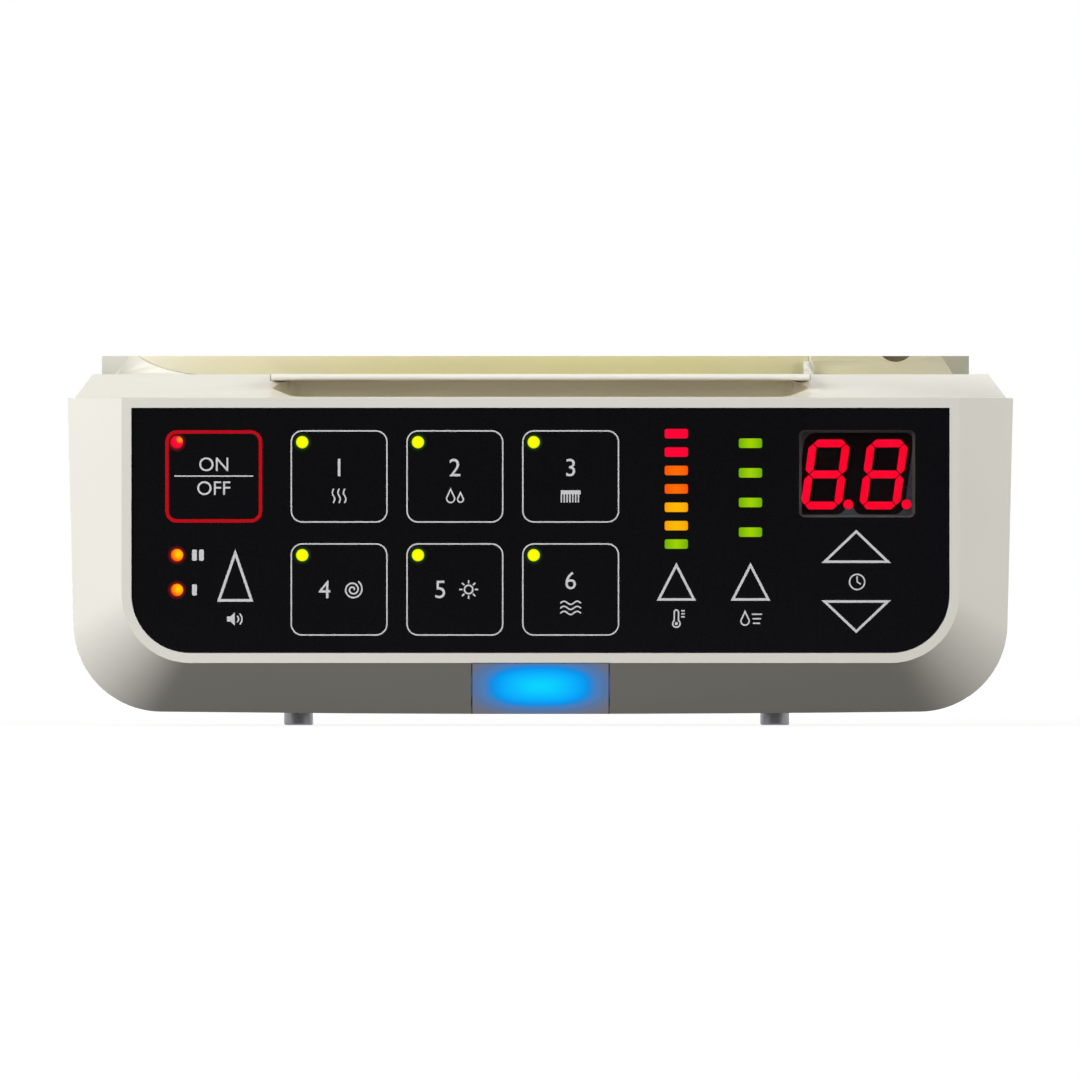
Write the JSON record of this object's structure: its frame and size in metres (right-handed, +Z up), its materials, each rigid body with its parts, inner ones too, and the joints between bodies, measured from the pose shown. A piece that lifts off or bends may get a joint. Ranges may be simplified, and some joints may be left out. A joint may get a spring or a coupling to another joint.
{
  "type": "hood dryer control unit",
  "caption": "Control unit of a salon hood dryer: chamfered white housing with a black key panel, lit bars, two-digit display, blue lamp and a hinged lid.",
  "frame": {"origin": "under the middle of the unit, level with the ends of the two studs", "axes": "+X to the right seen from the front, +Y from the front to the back, +Z up"},
  "size_m": [0.2068, 0.066, 0.081],
  "materials": {
    "white_housing": "satin moulded",
    "white_lid": "satin moulded",
    "black_film": "smooth gloss film, printed on the back",
    "smoked_window": "clear smoke",
    "grey_carrier": "moulded",
    "key_moulding": "moulded",
    "black_moulding": "moulded",
    "circuit_board": "solder mask",
    "display_body": "moulded, with lit red segments",
    "red_light": "lit lens",
    "yellow_green_light": "lit lens",
    "orange_light": "lit lens",
    "bar_light": "lit lenses, green through amber to red",
    "green_light": "lit lens",
    "blue_light": "clear lens",
    "natural_nylon": "moulded",
    "zinc_steel": "zinc plated",
    "bright_steel": "drawn wire",
    "polished_steel": "polished",
    "brass": "turned and knurled",
    "lamp_lens": "frosted, lit blue from behind",
    "white_reflector": "moulded",
    "black_foam": "closed-cell foam",
    "warm_liner": "natural moulded",
    "olive_rubber": "moulded",
    "black_rubber": "moulded"
  },
  "bodies": {
    "unit": {"front_bezel": "white_housing", "overlay_film": "black_film", "display_window": "smoked_window", "key_carrier": "grey_carrier", "switch_bodies": "black_moulding", "main_board": "circuit_board", "display_module": "display_body", "start_light": "red_light", "mode_lights": "yellow_green_light", "volume_lights": "orange_light", "temperature_lights": "bar_light", "mist_lights": "green_light", "buzzer": "black_moulding", "controller_chip": "black_moulding", "board_connector": "natural_nylon", "board_screws": "zinc_steel", "carrier_screws": "zinc_steel", "lamp_lens": "lamp_lens", "lamp_reflector": "white_reflector", "lamp_board": "circuit_board", "lamp_leds": "blue_light", "front_seal": "black_foam", "main_housing": "white_housing", "seat_liner": "warm_liner", "wire_grommet": "olive_rubber", "hinge_pins": "bright_steel", "bezel_screws": "zinc_steel", "mounting_studs": "polished_steel", "stud_bracket": "zinc_steel", "stud_nuts": "zinc_steel", "rear_cover": "white_housing", "threaded_inserts": "brass", "harness_grommet": "black_rubber", "cover_screws": "zinc_steel"},
    "start_push": {"start_key": "key_moulding", "start_switch_button": "black_moulding"},
    "mode_1_push": {"mode_key_1": "key_moulding", "mode_switch_button_1": "black_moulding"},
    "mode_2_push": {"mode_key_2": "key_moulding", "mode_switch_button_2": "black_moulding"},
    "mode_3_push": {"mode_key_3": "key_moulding", "mode_switch_button_3": "black_moulding"},
    "mode_4_push": {"mode_key_4": "key_moulding", "mode_switch_button_4": "black_moulding"},
    "mode_5_push": {"mode_key_5": "key_moulding", "mode_switch_button_5": "black_moulding"},
    "mode_6_push": {"mode_key_6": "key_moulding", "mode_switch_button_6": "black_moulding"},
    "volume_push": {"volume_key": "key_moulding", "volume_switch_button": "black_moulding"},
    "temperature_push": {"temperature_key": "key_moulding", "temperature_switch_button": "black_moulding"},
    "mist_push": {"mist_key": "key_moulding", "mist_switch_button": "black_moulding"},
    "time_up_push": {"time_up_key": "key_moulding", "time_up_switch_button": "black_moulding"},
    "time_down_push": {"time_down_key": "key_moulding", "time_down_switch_button": "black_moulding"},
    "lid": {"service_lid": "white_lid"}
  },
  "joints": [
    {"name": "start_press", "type": "slide", "parent": "unit", "child": "start_push", "axis": [0, 1, 0], "range_m": [0, 0.0004], "stiffness_N_per_m": 4000, "springref_m": -0.0002},
    {"name": "mode_1_press", "type": "slide", "parent": "unit", "child": "mode_1_push", "axis": [0, 1, 0], "range_m": [0, 0.0004], "stiffness_N_per_m": 4000, "springref_m": -0.0002},
    {"name": "mode_2_press", "type": "slide", "parent": "unit", "child": "mode_2_push", "axis": [0, 1, 0], "range_m": [0, 0.0004], "stiffness_N_per_m": 4000, "springref_m": -0.0002},
    {"name": "mode_3_press", "type": "slide", "parent": "unit", "child": "mode_3_push", "axis": [0, 1, 0], "range_m": [0, 0.0004], "stiffness_N_per_m": 4000, "springref_m": -0.0002},
    {"name": "mode_4_press", "type": "slide", "parent": "unit", "child": "mode_4_push", "axis": [0, 1, 0], "range_m": [0, 0.0004], "stiffness_N_per_m": 4000, "springref_m": -0.0002},
    {"name": "mode_5_press", "type": "slide", "parent": "unit", "child": "mode_5_push", "axis": [0, 1, 0], "range_m": [0, 0.0004], "stiffness_N_per_m": 4000, "springref_m": -0.0002},
    {"name": "mode_6_press", "type": "slide", "parent": "unit", "child": "mode_6_push", "axis": [0, 1, 0], "range_m": [0, 0.0004], "stiffness_N_per_m": 4000, "springref_m": -0.0002},
    {"name": "volume_press", "type": "slide", "parent": "unit", "child": "volume_push", "axis": [0, 1, 0], "range_m": [0, 0.0004], "stiffness_N_per_m": 4000, "springref_m": -0.0002},
    {"name": "temperature_press", "type": "slide", "parent": "unit", "child": "temperature_push", "axis": [0, 1, 0], "range_m": [0, 0.0004], "stiffness_N_per_m": 4000, "springref_m": -0.0002},
    {"name": "mist_press", "type": "slide", "parent": "unit", "child": "mist_push", "axis": [0, 1, 0], "range_m": [0, 0.0004], "stiffness_N_per_m": 4000, "springref_m": -0.0002},
    {"name": "time_up_press", "type": "slide", "parent": "unit", "child": "time_up_push", "axis": [0, 1, 0], "range_m": [0, 0.0004], "stiffness_N_per_m": 4000, "springref_m": -0.0002},
    {"name": "time_down_press", "type": "slide", "parent": "unit", "child": "time_down_push", "axis": [0, 1, 0], "range_m": [0, 0.0004], "stiffness_N_per_m": 4000, "springref_m": -0.0002},
    {"name": "lid_hinge", "type": "hinge", "parent": "unit", "child": "lid", "pos_m": [0, 0.017, 0.0727], "axis": [-1, 0, 0], "range_deg": [0, 90]}
  ]
}
